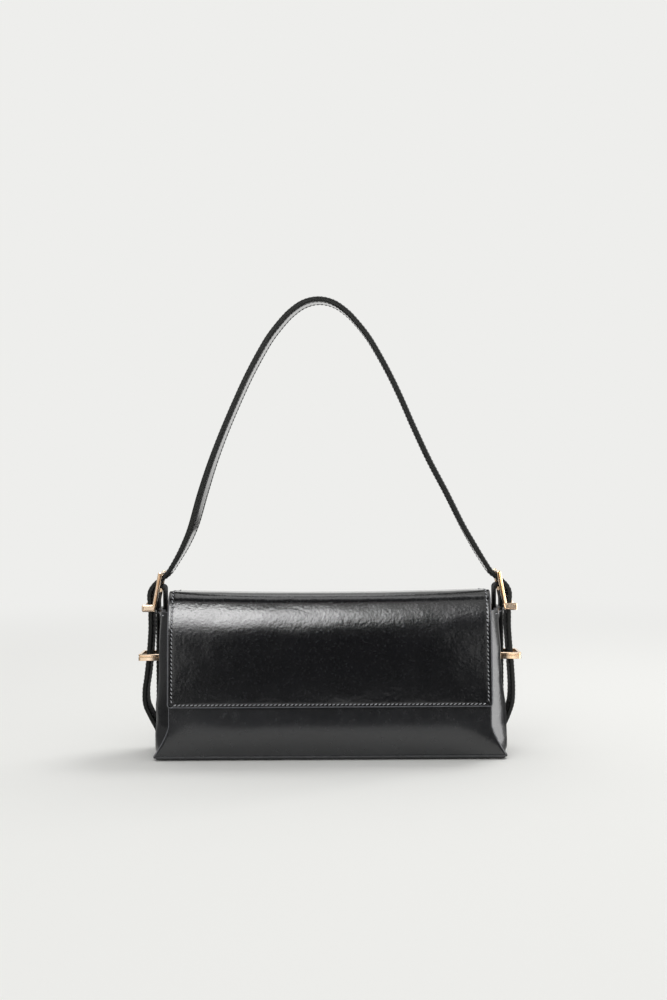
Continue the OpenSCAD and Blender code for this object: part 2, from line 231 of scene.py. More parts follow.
def makeLeather(name, settings):
    material, place = newMaterial(name)
    (poreSize, poreDepth), (mottleSize, mottleDepth) = settings["pore"], settings["mottle"]
    creaseSize, creaseDepth = settings["crease"]
    pores = addNode(material, "ShaderNodeTexVoronoi", {"Vector": place, "Scale": perMetre(poreSize)},
                    feature="SMOOTH_F1")
    mottle = addNoise(material, place, mottleSize, 4.0, 0.6).outputs["Fac"]
    creases = addNoise(material, place, creaseSize, 3.0)
    height = 0.0
    if "wrinkle" in settings:
        height = addWrinkles(material, place, creases, *settings["wrinkle"])
    for source, depth in ((pores.outputs["Distance"], poreDepth), (mottle, mottleDepth),
                          (creases.outputs["Fac"], creaseDepth)):
        height = addMath(material, "MULTIPLY_ADD", source, depth, height)
    relief = addRelief(material, height, 1.0)
    rough, (coat, coatRough) = settings["rough"], settings["coat"]
    return finishMaterial(material, {
        "Base Color": addShade(material, creases.outputs["Fac"], [(0.35, linear(settings["colour"])),
                                                                  (0.75, linear(settings["worn"]))]),
        "Roughness": addRange(material, mottle, (0.3, 0.7), (rough - 0.04, rough + 0.05)),
        "Normal": relief, "Coat Normal": relief, "IOR": 1.5, "Specular IOR Level": settings["level"],
        "Coat Weight": coat, "Coat Roughness": coatRough, "Coat IOR": 1.5})


# Edge paint: acrylic, brushed on the cut leather and burnished. It dries to a satin dark grey
# that follows small waves of the brush. The flap's copy, also on the rims of the panels and
# facings, is partly its own grey and partly painted light: it is painted lighter than the
# strap's, for the floor light its rounded edges catch.
edgeSettings = {
    # The flap's copy: its own grey, painted lighter for the floor light its rounded edges catch
    "edgePaintFlap": {"colour": "#5c5d62", "rough": 0.35, "level": 0.5},
    "edgePaintStrap": {"colour": "#1c1d1b", "rough": 0.5, "level": 0.2},
    "edgePaintBase": {"colour": "#3a3b3d", "rough": 0.42, "level": 0.4},
}


def makeEdgePaint(name, settings):
    material, place = newMaterial(name)
    brush = addNoise(material, place, 2.5, 3.0).outputs["Fac"]
    paint = linear(settings["colour"])[:3]
    dark, light = ([part * share for part in paint] + [1.0] for share in (0.8, 1.25))
    return finishMaterial(material, {
        "Base Color": addShade(material, brush, [(0.3, dark), (0.7, light)]),
        "Normal": addRelief(material, brush, 0.06),
        "IOR": 1.48, "Roughness": settings["rough"], "Specular IOR Level": settings["level"]})


# Waxed polyester thread: three twisted plies, drawn as a slanted ripple along each stitch, each ply painted
# lighter on its crest as painted sheen. The body's thread is dark glossy thread painted pale grey, a painted
# highlight of the light it catches.
threadSettings = {
    # The body's thread: pale grey is painted highlight on a dark glossy thread
    "waxedThreadBody": {"colour": "#83848a", "light": "#c8c9cd", "ply": 0.35, "rough": 0.24},
    "waxedThreadStrap": {"colour": "#151517", "light": "#232326", "ply": 0.35, "rough": 0.4},
}


def makeThread(name, settings):
    material, place = newMaterial(name)
    plies = addRibs(material, place, settings["ply"], 0.4, 2.0)
    return finishMaterial(material, {
        # Ply crests take the lighter colour: painted sheen
        "Base Color": addShade(material, plies, [(0.2, linear(settings["colour"])),
                                                 (0.9, linear(settings["light"]))]),
        "Normal": addRelief(material, plies, 0.05, 0.6),
        "IOR": 1.5, "Roughness": settings["rough"], "Specular IOR Level": 0.9})


# Gold-plated zinc alloy: die-cast, polished and plated pale gold. Mirror-like, with the faint
# unevenness of a tumbled casting and hair scratches from handling.
goldSettings = {
    "goldPlatedZinc": {"colour": "#fde3c8", "deep": "#f5d3ab", "rough": 0.12, "wave": 12.0, "scratch": 0.8},
    "goldPlatedSteel": {"colour": "#d9bd8c", "deep": "#b99a68", "rough": 0.24, "wave": 6.0, "scratch": 0.35},
}


def makeGold(name, settings):
    material, place = newMaterial(name)
    casting = addNoise(material, place, settings["wave"], 2.0).outputs["Fac"]
    stretch = addNode(material, "ShaderNodeMapping", {"Vector": place, "Scale": (1, 1, 0.06)})
    scratches = addNoise(material, stretch.outputs["Vector"], settings["scratch"], 4.0).outputs["Fac"]
    rough = settings["rough"]
    return finishMaterial(material, {
        "Base Color": addShade(material, casting, [(0.3, linear(settings["deep"])),
                                                   (0.6, linear(settings["colour"]))]),
        "Roughness": addRange(material, scratches, (0.35, 0.75), (rough - 0.02, rough + 0.05)),
        "Normal": addRelief(material, casting, 0.08, 0.5), "Metallic": 1.0})


# Cotton twill lining: woven, matt, with diagonal ribs. The real rib is 0.4 mm; it is drawn at
# 0.8 mm, or it would not show.
twillSettings = {"cottonTwill": {"colour": "#242326", "light": "#3a383c", "rib": 0.8, "rough": 0.85}}


def makeTwill(name, settings):
    material, place = newMaterial(name)
    slub = addNoise(material, place, 3.0, 4.0).outputs["Fac"]
    height = addMath(material, "MULTIPLY", addRibs(material, place, settings["rib"], 0.3, 1.0), slub)
    return finishMaterial(material, {
        "Base Color": addShade(material, height, [(0.1, linear(settings["colour"])),
                                                  (0.6, linear(settings["light"]))]),
        "Normal": addRelief(material, height, 0.15, 0.8),
        "Roughness": settings["rough"], "Sheen Weight": 0.15, "Sheen Roughness": 0.5})


# Fibre board: pressed grey paper pulp, matt and speckled.
boardSettings = {"fibreBoard": {"colour": "#6f6a63", "dark": "#57534d", "speck": 1.2}}


def makeBoard(name, settings):
    material, place = newMaterial(name)
    pulp = addNoise(material, place, settings["speck"], 6.0).outputs["Fac"]
    return finishMaterial(material, {
        "Base Color": addShade(material, pulp, [(0.35, linear(settings["dark"])),
                                                (0.65, linear(settings["colour"]))]),
        "Normal": addRelief(material, pulp, 0.2, 0.5), "Roughness": 0.9})


(flapLeather, bodyLeather, gussetLeather, strapLeather, loopLeather,
 needleHoleShade) = makeAll(makeLeather, leatherSettings)
flapEdge, strapEdge, baseEdge = makeAll(makeEdgePaint, edgeSettings)
thread, strapThread = makeAll(makeThread, threadSettings)
goldPlate, snapPlate = makeAll(makeGold, goldSettings)
twill = makeAll(makeTwill, twillSettings)[0]
fibreBoard = makeAll(makeBoard, boardSettings)[0]
print("materials made")


# Sizes read from the frame, in millimetres

frontLow, frontHigh = boxOf("front_panel")
flapLow, flapHigh = boxOf("flap_front_leather")
keeperLow, keeperHigh = boxOf("keeper_right")
pocketLow, pocketHigh = boxOf("slip_pocket")
loopLow, loopHigh = boxOf("anchor_loop_right")
facingLow, facingHigh = boxOf("facing_front")
backFacingLow, backFacingHigh = boxOf("facing_back")
baseHigh = boxOf("base_panel")[1]
topHigh = boxOf("flap_top_leather")[1]
strapHigh = boxOf("shoulder_strap")[1]
buckleHigh = boxOf("buckle_right")[1]

footOut = 1.1  # how much further the visible foot stands out than its solid
halfBase = baseHigh.x + footOut
halfDepth = baseHigh.y
seamZ = baseHigh.z
frontTop = frontHigh.z
leatherThick = frontHigh.y - frontLow.y
wallY = halfDepth - leatherThick
flapFace = flapLow.y
flapFootZ = flapLow.z
flapTopZ = topHigh.z
halfFlapTop = topHigh.x
halfFlapFoot = flapHigh.x


# Mesh helpers

def gridLayer(bm, columns, rows, place):
    across, along = len(columns) - 1, len(rows) - 1
    spots = {}
    for vert in bmesh.ops.create_grid(bm, x_segments=across, y_segments=along, size=0.5)["verts"]:
        column = columns[round((vert.co.x + 0.5) * across)]
        row = rows[round((vert.co.y + 0.5) * along)]
        vert.co = place(column, row)
        spots[vert] = (column, row)
    return spots


def makeShell(columns, rows, place, painted=None, rim=0.0, rimIndex=1):
    # Two layers of one grid, joined round their border. painted(column, row) picks the faces
    # that take the second material.
    bm = bmesh.new()
    outer = gridLayer(bm, columns, rows, lambda column, row: place(column, row, 0.0))
    inner = gridLayer(bm, columns, rows, lambda column, row: place(column, row, 1.0))
    spots = {**outer, **inner}
    if painted:
        for face in bm.faces:
            if any(painted(*spots[vert]) for vert in face.verts):
                face.material_index = 1
    bmesh.ops.reverse_faces(bm, faces=[face for face in bm.faces if face.verts[0] in inner])
    edges = [edge for edge in bm.edges if edge.is_boundary]
    for face in bmesh.ops.bridge_loops(bm, edges=edges)["faces"]:
        face.material_index = rimIndex
    if rim > 0:
        made = bmesh.ops.bevel(bm, geom=[edge for edge in edges if edge.is_valid], offset=rim, segments=3,
                               affect="EDGES", profile=0.5, material=-1, clamp_overlap=True)
        for face in made["faces"]:
            face.material_index = rimIndex
    return bm


def addWrap(bm, ring, stations, place, closed=False):
    # A tube with that many faces round it; place(column, row) gives its corners
    made = bmesh.ops.create_grid(bm, x_segments=ring, y_segments=stations, size=0.5)["verts"]
    for vert in made:
        column = round((vert.co.x + 0.5) * ring) % ring
        row = round((vert.co.y + 0.5) * stations)
        vert.co = place(column, row % stations if closed else row)
    bmesh.ops.remove_doubles(bm, verts=made, dist=0.0005)
    if not closed:
        bmesh.ops.holes_fill(bm, edges=[edge for edge in bm.edges if edge.is_boundary], sides=ring + 2)
    return bm


def roundedOutline(corners, steps=6):
    points = []
    for i, (x, y, radius) in enumerate(corners):
        here = Vector((x, y))
        before = (Vector(corners[i - 1][:2]) - here).normalized()
        after = (Vector(corners[(i + 1) % len(corners)][:2]) - here).normalized()
        half = before.angle(after) / 2
        reach = radius / math.tan(half)
        centre = here + (before + after).normalized() * radius / math.sin(half)
        begin = here + before * reach - centre
        turn = begin.angle_signed(here + after * reach - centre)
        points += [centre + Matrix.Rotation(-turn * k / steps, 2) @ begin for k in range(steps + 1)]
    return points


def roundedBox(low, high, radius):
    corners = ((low.x, low.y), (high.x, low.y), (high.x, high.y), (low.x, high.y))
    return roundedOutline([(x, y, radius) for x, y in corners])


def sweepOutline(path, section, heights):
    # A closed bar that follows the path. The section gives how far out each of its corners
    # lies, and its share of the way between the two heights.
    count = len(path)

    def place(column, row):
        ahead = path[(row + 1) % count] - path[row - 1]
        out, rise = section[column]
        spot = path[row] + Vector((ahead.y, -ahead.x)).normalized() * out
        return Vector((spot.x, spot.y, mix(*heights, rise)))

    return addWrap(bmesh.new(), len(section), count, place, closed=True)


def makePiece(name, bm, materials, bodies, blend=None, replaced=(), sharp=35):
    bmesh.ops.recalc_face_normals(bm, faces=bm.faces)
    bmesh.ops.scale(bm, vec=(mm, mm, mm), verts=bm.verts)
    mesh = bpy.data.meshes.new(name)
    bm.to_mesh(mesh)
    bm.free()
    for material in materials:
        mesh.materials.append(material)
    mesh.shade_smooth()
    mesh.set_sharp_from_angle(angle=math.radians(sharp))
    piece = bpy.data.objects.new(name, mesh)
    bpy.context.scene.collection.objects.link(piece)
    if blend:
        start, end = (Vector(spot) * mm for spot in blend)
        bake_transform(piece)
    else:
        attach(piece, bodies)
    if replaced:
        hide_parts(*replaced)
    return piece


# Stitches: each is a small grain of thread, laid at a slant along its row, and after each
# comes a near-black grain of painted shade where its needle hole is. A size is across the row, up from the
# leather and along the row.

stitchSettings = {"pitch": 3.1, "grain": (0.75, 0.95, 2.6), "hole": (1.1, 0.5, 0.8), "slant": 24.0,
                  "batch": 16}


def addGrain(bm, spot, axes, size, index):
    basis = Matrix([axis * part for axis, part in zip(axes, size)]).transposed().to_4x4()
    verts = bmesh.ops.create_uvsphere(bm, u_segments=6, v_segments=4, radius=0.5,
                                      matrix=Matrix.Translation(spot) @ basis)["verts"]
    for face in {face for vert in verts for face in vert.link_faces}:
        face.material_index = index


def addStitches(bm, row, settings):
    # Stitches are made a few at a time, because an operator slows down as its bmesh grows
    batch = bmesh.new()
    carrier = bpy.data.meshes.new("stitchBatch")
    pitch = settings["pitch"]
    travelled, made = pitch / 2, 0
    for (here, up), (after, upAfter) in zip(row, row[1:]):
        span = (after - here).length
        along = (after - here).normalized()
        while travelled < span:
            share = travelled / span
            middle = here.lerp(after, share)
            normal = up.lerp(upAfter, share).normalized()
            turn = Matrix.Rotation(math.radians(settings["slant"]), 3, normal)
            axes = (turn @ normal.cross(along).normalized(), normal, turn @ along)
            addGrain(batch, middle, axes, settings["grain"], 0)
            # A near-black grain of painted shade stands where the needle hole is
            addGrain(batch, middle + along * pitch / 2, axes, settings["hole"], 1)
            travelled += pitch
            made += 1
            if made % settings["batch"] == 0:
                batch.to_mesh(carrier)
                bm.from_mesh(carrier)
                batch.clear()
        travelled -= span
    batch.to_mesh(carrier)
    bm.from_mesh(carrier)
    batch.free()
    bpy.data.meshes.remove(carrier)


def stitchPiece(name, rows, bodies, blend=None, yarn=thread):
    bm = bmesh.new()
    for row in rows:
        addStitches(bm, row, stitchSettings)
    return makePiece(name, bm, [yarn, needleHoleShade], bodies, blend, sharp=180)


# Body: front panel, gussets and base

bodySettings = {
    "halfPanel": 120.5,  # half width of the panels above their flare
    "flareHeight": 22.0,
    "flarePower": 1.35,
    "panelFoot": 3.0,
    "panelWave": (45, 0.2),  # size and height of its waves
    "gussetMiddle": 112.0,  # height of the gusset's edge at its middle
    "gussetDrop": 1.2,  # how much lower it is at the seams
    "gussetThick": 2.4,
    "gussetWave": (14, 0.5),
    "spread": 79.2,  # degrees of a sine that brings the columns closer together at the seams
    "liningThick": 0.8,
    "flatHalf": 10.5,  # half width of the gusset's flat part behind the loop
    "recess": 2.9,  # the gusset steps in behind the strap's sewn end and the keeper ring
    "recessLow": 3.0,
    "recessHigh": 97.0,
    "recessFade": 8.0,
    "leanFrom": 98.0,  # the front panel leans in under the flap's soft fold
    "lean": 3.6,
    "crown": 0.9,  # the front panel's swell below the flap
    "crownHeight": 36.0,
    "rollDepth": 5.0,  # the soft roll beside the gusset's seam: its least depth
    "rollShape": 1.54,  # and how far it stands out for each mm of depth
    "rollFace": [(112, 126.3), (80, 128.2), (62, 128.7)],  # how far out it stands, by height
    "rollFoot": {1: 132.6, -1: 131.2},  # and near the base, right and left
    "hollow": (1.6, 16.5, 3.0),  # beside the flat part: depth, distance from the middle, width
}


def edgeX(z):
    flare = bodySettings["flareHeight"]
    share = max(0.0, min(1.0, (seamZ + flare - z) / flare))
    return mix(bodySettings["halfPanel"], halfBase, share ** bodySettings["flarePower"])


def middleX(z):
    stepIn = ease(z, bodySettings["recessLow"], bodySettings["recessFade"])
    stepOut = 1 - ease(z, bodySettings["recessHigh"], bodySettings["recessFade"])
    return halfBase - (footOut + bodySettings["recess"] * stepOut) * stepIn


def gussetTop(y):
    return bodySettings["gussetMiddle"] - bodySettings["gussetDrop"] * (y / wallY) ** 2


def frontLean(z):
    share = max(0.0, (z - bodySettings["leanFrom"]) / (frontTop - bodySettings["leanFrom"]))
    return bodySettings["lean"] * share ** 1.4


def panelPlace(column, z, depth):
    x = column * edgeX(z)
    height = z - bodySettings["panelFoot"]
    swell = math.sin(math.pi * min(1.0, height / bodySettings["crownHeight"])) * (1 - column ** 4)
    wave = ripple(x, z, *bodySettings["panelWave"]) * min(1.0, height / 8)
    face = -halfDepth + frontLean(z) - bodySettings["crown"] * swell - wave
    return Vector((x, face + leatherThick * depth, z))


def makeFrontPanel():
    rows = [mix(bodySettings["panelFoot"], frontTop, share ** 1.25) for share in evenly(0, 1, 56)]
    makePiece("front_panel_leather", makeShell(evenly(-1, 1, 100), rows, panelPlace, rim=0.5),
              [bodyLeather, flapEdge], "bag", replaced=["front_panel"])
    z = frontTop - 2.5
    half = bodySettings["halfPanel"] - 4
    row = [(Vector((x, -halfDepth + frontLean(z) - 0.05, z)), Vector((0, -1, 0)))
           for x in evenly(-half, half, 40)]
    stitchPiece("front_panel_stitches", [row], "bag")


def rollFace(side, z):
    (top, topX), (middle, midX), (low, lowX) = bodySettings["rollFace"]
    reach = mix(midX, topX, ease(z, middle, top - middle))
    reach = mix(lowX, reach, ease(z, low, middle - low))
    return mix(bodySettings["rollFoot"][side], reach, ease(z, 36, low - 36))


def gussetPoint(side, y, z, inset):
    fromSeam = wallY - abs(y)
    edge = edgeX(z)
    swell = max(0.0, rollFace(side, z) - edge)
    roll = max(bodySettings["rollDepth"], swell / bodySettings["rollShape"])
    swell *= ease(z, 2, 7)
    if fromSeam < roll:
        x = edge + swell * math.sin(math.pi / 2 * fromSeam / roll)
    else:
        share = ease(fromSeam, roll, wallY - roll - bodySettings["flatHalf"])
        x = mix(edge + swell, middleX(z), share)
    soft = ease(z, seamZ, 30)
    deep, centre, width = bodySettings["hollow"]
    x -= soft * deep * bump(abs(y), centre, width)
    wave = ripple(y, z * side, *bodySettings["gussetWave"])
    x += soft * wave * ease(abs(y), 11, 5) * ease(fromSeam, 0, 4)
    return Vector((side * (x - inset), y, z))


def sideColumns(half, count):
    spread = math.radians(bodySettings["spread"])
    return [half * math.sin(share * spread) / math.sin(spread) for share in evenly(-1, 1, count)]


def makeGusset(name, side):
    def place(y, row, depth):
        z = mix(bodySettings["panelFoot"], gussetTop(y), row)
        return gussetPoint(side, y, z, bodySettings["gussetThick"] * depth)

    rows = [share ** 1.15 for share in evenly(0, 1, 60)]
    makePiece("gusset_%s_leather" % name, makeShell(sideColumns(wallY, 60), rows, place, rim=0.5),
              [gussetLeather, flapEdge], "bag", replaced=["gusset_" + name])
    row = [(gussetPoint(side, y, gussetTop(y) - 2.8, -0.05), Vector((side, 0, 0)))
           for y in evenly(-wallY + 1.5, wallY - 1.5, 48)]
    stitchPiece("gusset_%s_stitches" % name, [row], "bag")


baseSettings = {
    "corner": 2.4,
    "floor": (0.998, 0.992, 2.3),  # shares of the length and depth, and its height
    "thick": 1.0,
    "pillow": [(0.12, 0.6), (0.25, 0.6), (0.6, 0.5), (2.2, 0.2)],  # steps in and down
    "seamLow": 2.1,
    "seamHigh": 3.5,
    "seam": [(0.9, 0.0), (1.1, 0.2), (1.1, 0.8), (0.9, 1.0), (-2.5, 1.0), (-2.5, 0.0)],
}


def makeBase():
    settings = baseSettings
    path = roundedBox(Vector((-halfBase, -halfDepth)), Vector((halfBase, halfDepth)), settings["corner"])
    long, deep, height = settings["floor"]
    bm = bmesh.new()
    floor = bm.faces.new([bm.verts.new((spot.x * long, spot.y * deep, height)) for spot in path])
    roof = bmesh.ops.extrude_face_region(bm, geom=[floor], use_keep_orig=True)["geom"]
    bmesh.ops.translate(bm, vec=(0, 0, settings["thick"]),
                        verts=[part for part in roof if isinstance(part, bmesh.types.BMVert)])
    bmesh.ops.recalc_face_normals(bm, faces=bm.faces)
    for thickness, depth in settings["pillow"]:
        bmesh.ops.inset_region(bm, faces=[floor], thickness=thickness, depth=depth)
    makePiece("base_leather", bm, [bodyLeather], "bag", replaced=["base_panel"], sharp=50)
    bm = sweepOutline(path, settings["seam"], (settings["seamLow"], settings["seamHigh"]))
    makePiece("base_seam", bm, [baseEdge], "bag")


makeFrontPanel()
for name, side in sides.items():
    makeGusset(name, side)
makeBase()
print("body panels made")


# Flap and back: one skin from the base seam up the back, over the top and down the front.
# It is drawn in two pieces that meet at the middle of the top, because each crosses one fold.

flapSettings = {
    "foldStart": 18.6,  # where the front fold starts, in front of the middle
    "foldRadius": 12.0,
    "foldTurn": 70.0,
    "easeRadius": 85.0,  # below the fold the skin eases into the flat face
    "sag": 1.8,
    "backDrop": 2.7,  # how much lower the top is at the back
    "lining": 0.9,
    "taper": 0.8,
    "cornerRadius": 3.0,
    "edgeRound": 1.2,
    "painted": 0.9,
    "seamInset": 3.4,
    "seamFoot": 2.4,  # the row along the foot lies closer to its edge
    "seamDip": 0.14,
    "seamWidth": 0.8,
    "seamLift": 0.22,  # the middle of a stitch lies that far above the bottom of the dip
    "wave": (34, 0.3),  # size and height of the soft waves below the fold
    "smallWave": (12, 0.1),
    "backRadius": 9.0,
}
edgeStops = [0, 0.1, 0.3, 0.6, 0.95, 1.3, 1.8, 2.2, 2.5, 2.8, 3.1, 3.4, 3.7, 4.0, 4.6, 5.6, 7.0]


def walkLegs(start, heading, legs, distance):
    # Walks along straights and bends of (length, degrees turned) and gives the spot and heading
    here = Vector(start)
    for length, turn in legs:
        step = min(distance, length)
        bend = math.radians(turn) / length
        if abs(bend) < 1e-6:
            here = here + Vector((math.cos(heading), math.sin(heading))) * step
        else:
            here = here + Vector((math.sin(heading + bend * step) - math.sin(heading),
                                  math.cos(heading) - math.cos(heading + bend * step))) / bend
            heading += bend * step
        distance -= step
        if distance <= 0:
            break
    return here, heading


foldTurn = flapSettings["foldTurn"]
foldArc = flapSettings["foldRadius"] * math.radians(foldTurn)
easeArc = flapSettings["easeRadius"] * math.radians(90 - foldTurn)
foldDrop = (flapSettings["foldRadius"] * (1 - math.cos(math.radians(foldTurn)))
            + flapSettings["easeRadius"] * math.cos(math.radians(foldTurn)))
faceLength = flapTopZ - foldDrop - flapFootZ
frontLegs = [(flapSettings["foldStart"], 0), (foldArc, foldTurn), (easeArc, 90 - foldTurn), (faceLength, 0)]
frontLength = sum(leg[0] for leg in frontLegs)
backFlat = halfDepth - flapSettings["backRadius"]
backArc = flapSettings["backRadius"] * math.pi / 2
backWall = flapTopZ - flapSettings["backRadius"] - bodySettings["panelFoot"]
backLegs = [(backFlat, 0), (backArc, -90), (backWall, 0)]
backLength = sum(leg[0] for leg in backLegs)


def walkFlap(travel):
    # Travel runs forward from the middle of the top, and is negative towards the back
    if travel >= 0:
        return walkLegs((0, flapTopZ), math.pi, frontLegs, travel)
    return walkLegs((0, flapTopZ), 0.0, backLegs, -travel)


def flapSkin(x, travel, depth):
    # The spot on the skin and its outward direction
    spot, heading = walkFlap(travel)
    outward = Vector((math.sin(heading), -math.cos(heading))) * (1 if travel >= 0 else -1)
    fall = flapSettings["sag"] * (1 - (x / halfFlapTop) ** 2) * ease(spot.y, 92, 30)
    fall += flapSettings["backDrop"] * ease(spot.x, -22, 38) * ease(spot.y, 96, 18)
    spot = spot - outward * depth
    return Vector((x, spot.x, spot.y - fall)), Vector((0, outward.x, outward.y))


def flapHalf(travel):
    # Half width of the skin at that travel
    top = halfFlapFoot - flapSettings["taper"]
    if travel >= 0:
        drop = max(0.0, travel - flapSettings["foldStart"] - foldArc)
        return mix(top, halfFlapFoot, drop / (easeArc + faceLength))
    z = walkFlap(travel)[0].y
    return mix(edgeX(z), top, ease(z, 100, 16))


def skinColumns(count):
    # (share of the width, distance in from the edge): close together along both edges
    middle = [(share, edgeStops[-1]) for share in evenly(-1, 1, count)]
    return [(-1, inset) for inset in edgeStops[:-1]] + middle + [(1, inset) for inset in edgeStops[-2::-1]]


def roundOver(distance, radius):
    # How far a rounded border falls away, at that distance in from its edge
    return radius - math.sqrt(max(0.0, radius ** 2 - (radius - min(distance, radius)) ** 2))


def skinPlace(thick, under, trim):
    settings = flapSettings

    def place(column, travel, depth):
        share, inset = column
        foot = frontLength - trim - travel if travel > 0 else 100.0
        half = flapHalf(travel) - trim - roundOver(foot, settings["cornerRadius"])
        x = share * (half - inset)
        skinDepth = leatherThick if under else 0.0
        if not under and depth == 0:
            edge = min(inset if abs(share) == 1 else 100.0, foot)
            skinDepth += roundOver(edge, settings["edgeRound"])
            fromSeam = (half - abs(x) - settings["seamInset"], foot - settings["seamFoot"])
            if min(fromSeam) > -1.2:
                nearest = min(abs(distance) for distance in fromSeam)
                skinDepth += settings["seamDip"] * bump(nearest, 0, settings["seamWidth"])
            wave = ripple(x, travel, *settings["wave"]) * ease(travel, 25, 20)
            skinDepth -= (wave + ripple(x, travel, *settings["smallWave"])) * ease(edge, 0, 8)
        return flapSkin(x, travel, skinDepth + thick * depth)[0]
    return place


def makeFlap():
    settings = flapSettings
    lining, inset = settings["lining"], settings["seamInset"]
    seamDepth = settings["seamDip"] - settings["seamLift"]
    backBodies, frontBodies = ("bag", "flap_top"), ("flap_top", "flap_front")
    backBlend = ((0, halfDepth, flapTopZ - settings["backRadius"]), (0, backFlat, flapTopZ))
    frontBlend = ((0, -settings["foldStart"], flapTopZ), (0, flapFace, flapTopZ - foldDrop + 2))

    def onRim(column, travel):
        sideInset = column[1] if abs(column[0]) == 1 else 100.0
        return min(sideInset, frontLength - travel) < settings["painted"]

    def sideRows(travels):
        return [[flapSkin(side * (flapHalf(travel) - inset), travel, seamDepth) for travel in travels]
                for side in (-1, 1)]

    footRows = [frontLength - stop for stop in edgeStops[::-1]]
    outside, inside = skinPlace(leatherThick, False, 0), skinPlace(lining, True, 0.25)
    bm = makeShell(skinColumns(60), evenly(-backLength, 0, 90), outside, onRim)
    makePiece("back_leather", bm, [bodyLeather, flapEdge], backBodies, backBlend,
              replaced=["back_panel"])
    bm = makeShell(skinColumns(100), evenly(0, footRows[0], 96)[:-1] + footRows, outside, onRim)
    makePiece("flap_leather", bm, [flapLeather, flapEdge], frontBodies, frontBlend,
              replaced=["flap_top_leather", "flap_front_leather"])

    bm = makeShell(skinColumns(40), evenly(-(backFlat + backArc * 0.94), 0, 24), inside)
    makePiece("flap_lining_back", bm, [bodyLeather, flapEdge], backBodies, backBlend)
    bm = makeShell(skinColumns(40), evenly(0, frontLength - 0.25, 70), inside)
    makePiece("flap_lining_front", bm, [bodyLeather, flapEdge], frontBodies, frontBlend,
              replaced=["flap_top_lining", "flap_front_lining"])

    seamFoot = frontLength - settings["seamFoot"]
    half = halfFlapFoot - inset - 1.0
    rows = sideRows(evenly(0.0, seamFoot - 1.0, 60))
    rows.append([flapSkin(share * half, seamFoot, seamDepth) for share in evenly(-1, 1, 60)])
    stitchPiece("flap_stitches", rows, frontBodies, frontBlend)
    rows = sideRows(evenly(0.0, -(backFlat + backArc + 14), 40))
    stitchPiece("flap_stitches_back", rows, backBodies, backBlend)


makeFlap()
print("flap made")


# Strap: two layers of leather sewn along both edges, in one length from its left sewn end up
# through the keeper and the buckle, over the arch and down again

barX = 128.38  # the middle bar of the right buckle
barZ = 126.0
strapSettings = {
    "layer": 1.7,
    "plump": 0.18,  # how much thicker the free arch is than the runs that lie in the hardware
    "plumpFrom": 18.0,
    "plumpRun": 18.0,
    "lean": 6.9,
    "leanFrom": 25.0,
    "leanRun": 95.0,
    "rise": 222.0,
    "twist": 4.0,  # degrees that the arch turns about the vertical
    "twistFrom": 16.0,
    "twistRun": 40.0,
    "leftTwist": (5.0, 66.0, 38.0),  # more on the left leg: degrees, height above the bar, reach
    "step": 2.4,
    "seamInset": 2.3,
    "seamDip": 0.22,
    "painted": 0.5,
    "glazedFrom": 13.0,  # height above the bar from which the leather is glazed
    # Outer skin of the arch, as shares of the bar's distance from the middle and of the rise
    "arch": [(0, 1), (0.055, 0.996), (0.112, 0.983), (0.168, 0.96), (0.218, 0.932), (0.295, 0.8775),
             (0.354, 0.823), (0.43, 0.742), (0.498, 0.659), (0.58, 0.55), (0.66, 0.441), (0.74, 0.332),
             (0.814, 0.223), (0.866, 0.161), (0.918, 0.106)],
    # From the top bar round the outside of the loop, measured from the buckle's middle bar
    "buckle": [(-4.0, 13.4), (1.5, 8.9), (6.2, 4.4), (9.2, 0), (10.2, -4.5), (9.9, -9.5), (9.5, -14),
               (9.4, -18.5)],
    "leftBow": (2.2, 42.0, 17.0),  # the left run bows out more: how much, at what height, reach
    # Side run, x from the middle bar and z from the floor
    "run": [(9.4, 104.4), (9.4, 96), (10.2, 84), (11.2, 72), (12, 60), (12.4, 49), (11.6, 38), (8.2, 28),
            (4.7, 20), (2.7, 13), (2.3, 7)],
}
loopSettings = {
    "foot": 105.0,  # where its inner leg begins
    "thick": 1.8,
    "seamInset": 2.2,
    "seamDip": 0.18,
    "seam": (40, 108),  # from and to that height on its outer leg
    "painted": 0.45,
}


def strapRoute():
    settings = strapSettings
    right = [(out * barX, barZ + up * settings["rise"]) for out, up in settings["arch"]]
    right += [(barX + x, barZ + z) for x, z in settings["buckle"]]
    right += [(barX + x, z) for x, z in settings["run"]]
    more, height, reach = settings["leftBow"]
    left = [(-x - (more * bump(z, height, reach) if z < 104 else 0), z) for x, z in right[:0:-1]]
    knots = [Vector((x - settings["lean"] * ease(z, barZ + settings["leanFrom"], settings["leanRun"]), z))
             for x, z in left + right]
    points = []
    for i in range(len(knots) - 1):
        a, b, c, d = (knots[max(0, min(len(knots) - 1, i + k))] for k in (-1, 0, 1, 2))
        steps = max(2, round((c - b).length / settings["step"]))
        for k in range(steps):
            t = k / steps
            points.append(0.5 * (2 * b + (c - a) * t + (2 * a - 5 * b + 4 * c - d) * t * t
                                 + (3 * b - a - 3 * c + d) * t ** 3))
    return points + [knots[-1]]


def routeFrames(points, twist=0.0):
    # For each point its place, the direction across the strip and the one out of its face
    frames = []
    more, height, reach = strapSettings["leftTwist"]
    for i, point in enumerate(points):
        ahead = points[min(len(points) - 1, i + 1)] - points[max(0, i - 1)]
        normal = Vector((-ahead.y, 0, ahead.x)).normalized()
        rise = point.y - barZ
        turn = twist * ease(rise, strapSettings["twistFrom"], strapSettings["twistRun"])
        if twist and point.x < 0:
            turn += more * bump(rise, height, reach) * ease(rise, 0, 20)
        turn = math.radians(turn)
        frames.append((Vector((point.x, 0, point.y)), Vector((math.sin(turn), math.cos(turn), 0)), normal))
    return frames


